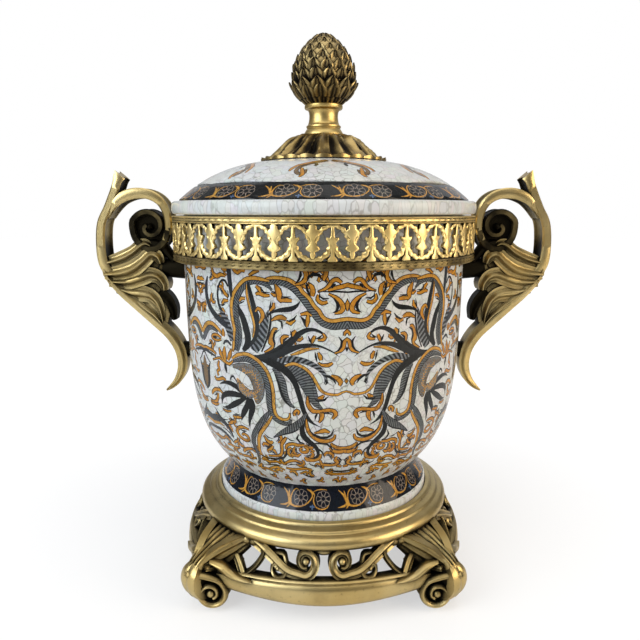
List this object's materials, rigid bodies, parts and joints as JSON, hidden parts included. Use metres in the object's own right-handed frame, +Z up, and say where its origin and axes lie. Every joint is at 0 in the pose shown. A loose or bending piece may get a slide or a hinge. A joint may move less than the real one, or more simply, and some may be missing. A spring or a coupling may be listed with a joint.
{
  "type": "mantel urn",
  "caption": "Covered mantel urn: crackle-glazed porcelain jar with a domed lift-off lid, cast brass scroll handles, pierced gallery, pine cone finial and openwork scroll-footed stand.",
  "frame": {"origin": "on the floor, under the urn's axis and between its four feet", "axes": "+Z up along the urn's axis, the handles along X, the front towards -Y"},
  "size_m": [0.3442, 0.2248, 0.3998],
  "materials": {
    "crackled_porcelain": "glossy white glaze with a fine grey crackle, transfer decoration in ochre, slate grey and black, and dark scrolled borders",
    "gallery_gilt": "bright pierced gilt brass, dark in the recesses",
    "antique_brass": "cast brass with a brown-black patina rubbed back to gold on the high places",
    "dark_bronze": "darkly patinated cast brass with worn gold edges"
  },
  "bodies": {
    "root": {"porcelain_jar": "crackled_porcelain", "porcelain_lid": "crackled_porcelain", "pierced_gallery": "gallery_gilt", "leaf_cap": "dark_bronze", "finial_stem": "antique_brass", "finial_cone": "dark_bronze", "handle_left": "antique_brass", "handle_right": "antique_brass", "stand": "antique_brass"}
  },
  "joints": []
}
